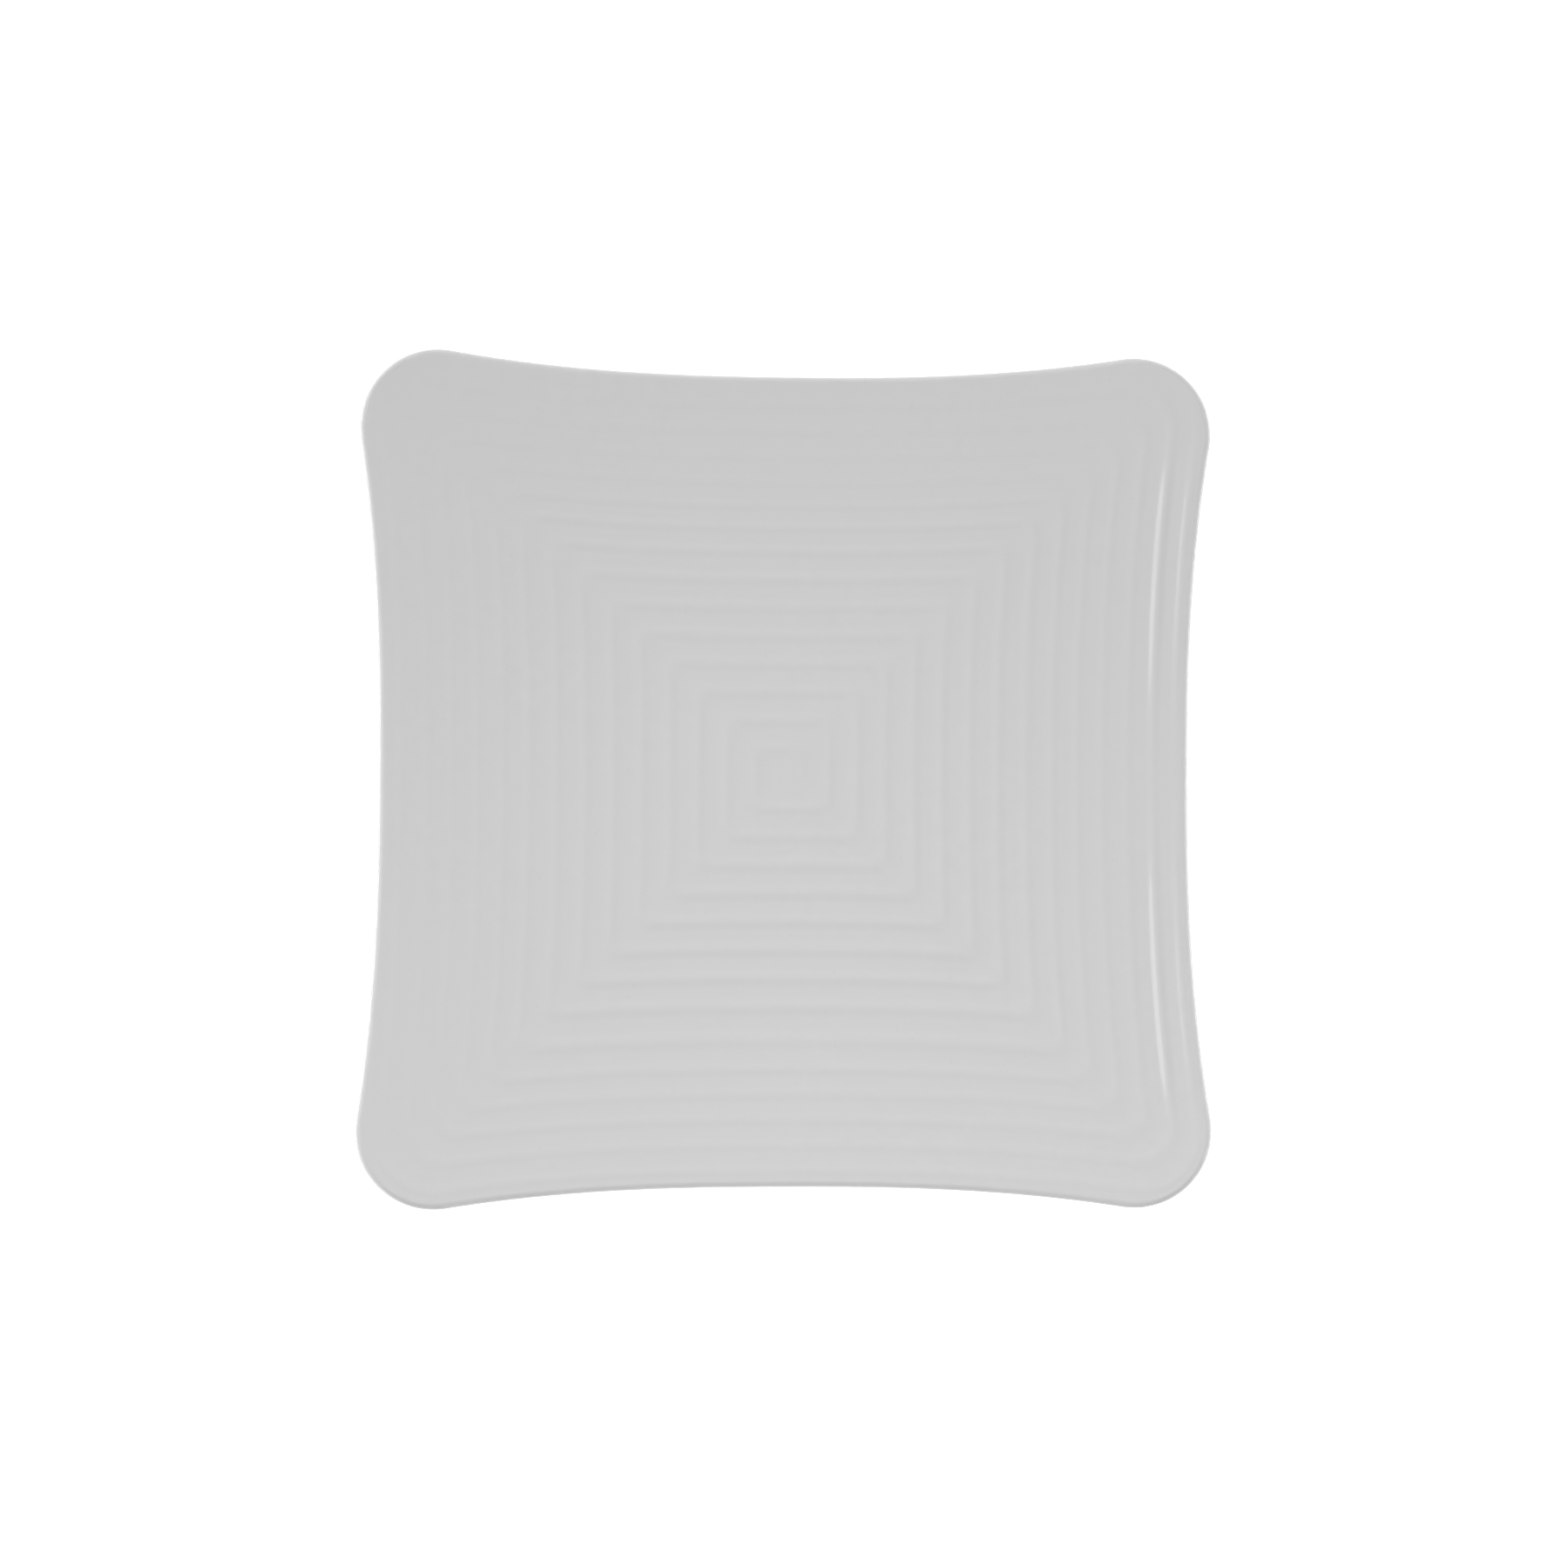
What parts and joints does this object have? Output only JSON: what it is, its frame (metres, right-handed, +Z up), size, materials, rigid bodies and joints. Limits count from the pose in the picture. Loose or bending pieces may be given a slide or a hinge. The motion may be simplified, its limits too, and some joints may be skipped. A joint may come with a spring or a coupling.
{
  "type": "square plate",
  "caption": "Shallow square plate with drawn-in sides, rounded raised corners, a glossy face pressed with a square spiral ridge, and a foot ring underneath.",
  "frame": {"origin": "on the table, under the middle of the plate, in the plane of the foot ring's resting face", "axes": "+Z up out of the eating face, +X to the right and +Y away from the viewer along two sides of the square"},
  "size_m": [0.2538, 0.2538, 0.0226],
  "materials": {
    "body_moulding": "satin light grey moulding compound",
    "gloss_face": "smooth glossy light grey pressed face"
  },
  "bodies": {
    "root": {"plate_body": "body_moulding", "face_glaze": "gloss_face"}
  },
  "joints": []
}
